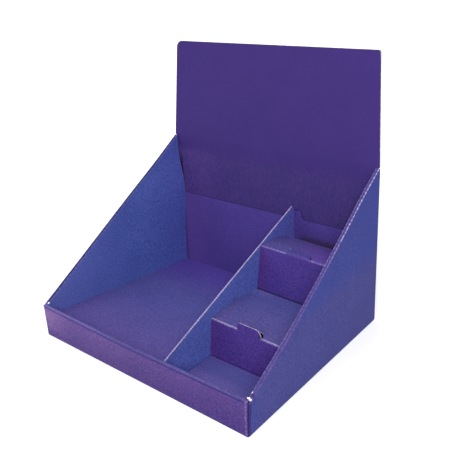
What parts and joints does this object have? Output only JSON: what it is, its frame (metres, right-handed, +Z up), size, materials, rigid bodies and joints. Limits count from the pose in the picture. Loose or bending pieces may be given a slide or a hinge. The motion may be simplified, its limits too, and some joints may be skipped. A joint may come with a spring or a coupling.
{
  "type": "cardboard display stand",
  "caption": "Folded corrugated counter display: rolled-over tray with sloping sides and tall header, an open bay with sloping deck and a stepped bay behind a divider.",
  "frame": {"origin": "under the middle of the whole stand, on the surface that it rests on", "axes": "+X to the right along the front, +Y from the front to the back, +Z up"},
  "size_m": [0.3551, 0.2979, 0.3616],
  "materials": {
    "printed_board": "matt printed corrugated board",
    "divider_board": "matt printed corrugated board with pale cut edges",
    "insert_board": "matt printed corrugated board, folded"
  },
  "bodies": {
    "root": {"tray": "printed_board", "back_liner": "printed_board", "divider": "divider_board", "bay_deck": "insert_board", "step_insert": "insert_board"}
  },
  "joints": []
}
